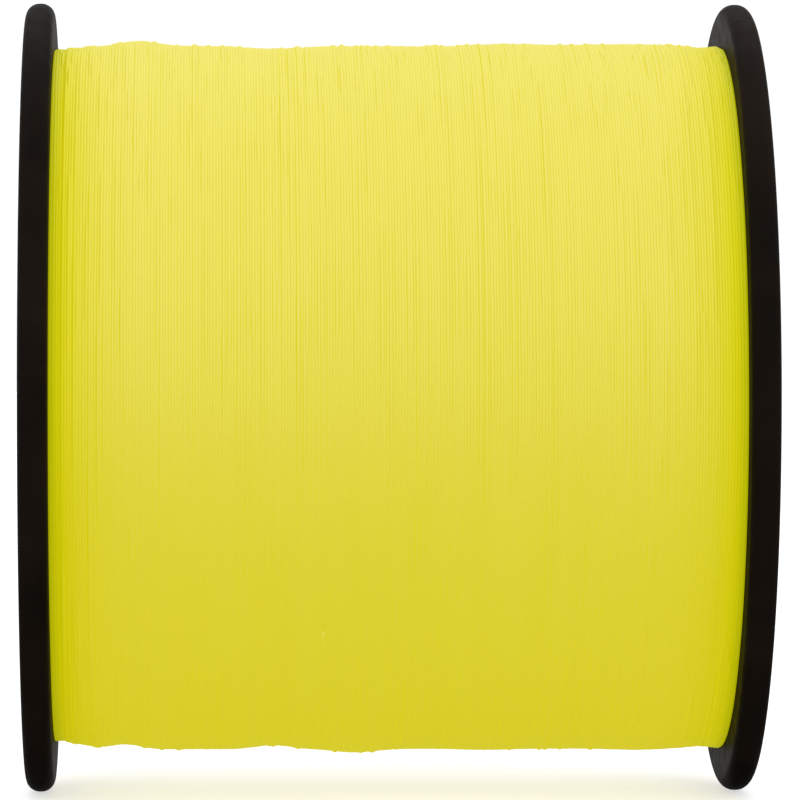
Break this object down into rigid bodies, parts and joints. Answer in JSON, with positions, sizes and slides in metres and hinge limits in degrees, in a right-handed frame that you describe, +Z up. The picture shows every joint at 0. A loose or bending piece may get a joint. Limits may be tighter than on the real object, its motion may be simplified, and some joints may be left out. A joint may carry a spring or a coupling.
{
  "type": "fishing line spool",
  "caption": "Flanged plastic spool filled with bright yellow nylon fishing line, with a through bore for a spindle and flat end faces.",
  "frame": {"origin": "centre of the spool, on its axis, midway between the flanges' outer faces", "axes": "+X along the spool's axis towards the end whose hub is open, +Z up with the spool resting on its rims"},
  "size_m": [0.066, 0.072, 0.072],
  "materials": {
    "flange_plastic": "glossy moulded black",
    "barrel_plastic": "moulded black",
    "nylon_line": "translucent yellow nylon",
    "label_paper": "coated paper",
    "tab_paper": "coated paper"
  },
  "bodies": {
    "root": {"left_flange": "flange_plastic", "right_flange": "flange_plastic", "barrel": "barrel_plastic", "arbor_tube": "flange_plastic", "line_winding": "nylon_line", "line_start_knot": "nylon_line", "line_tail": "nylon_line", "tail_tab": "tab_paper", "left_label": "label_paper", "right_label": "label_paper"}
  },
  "joints": []
}
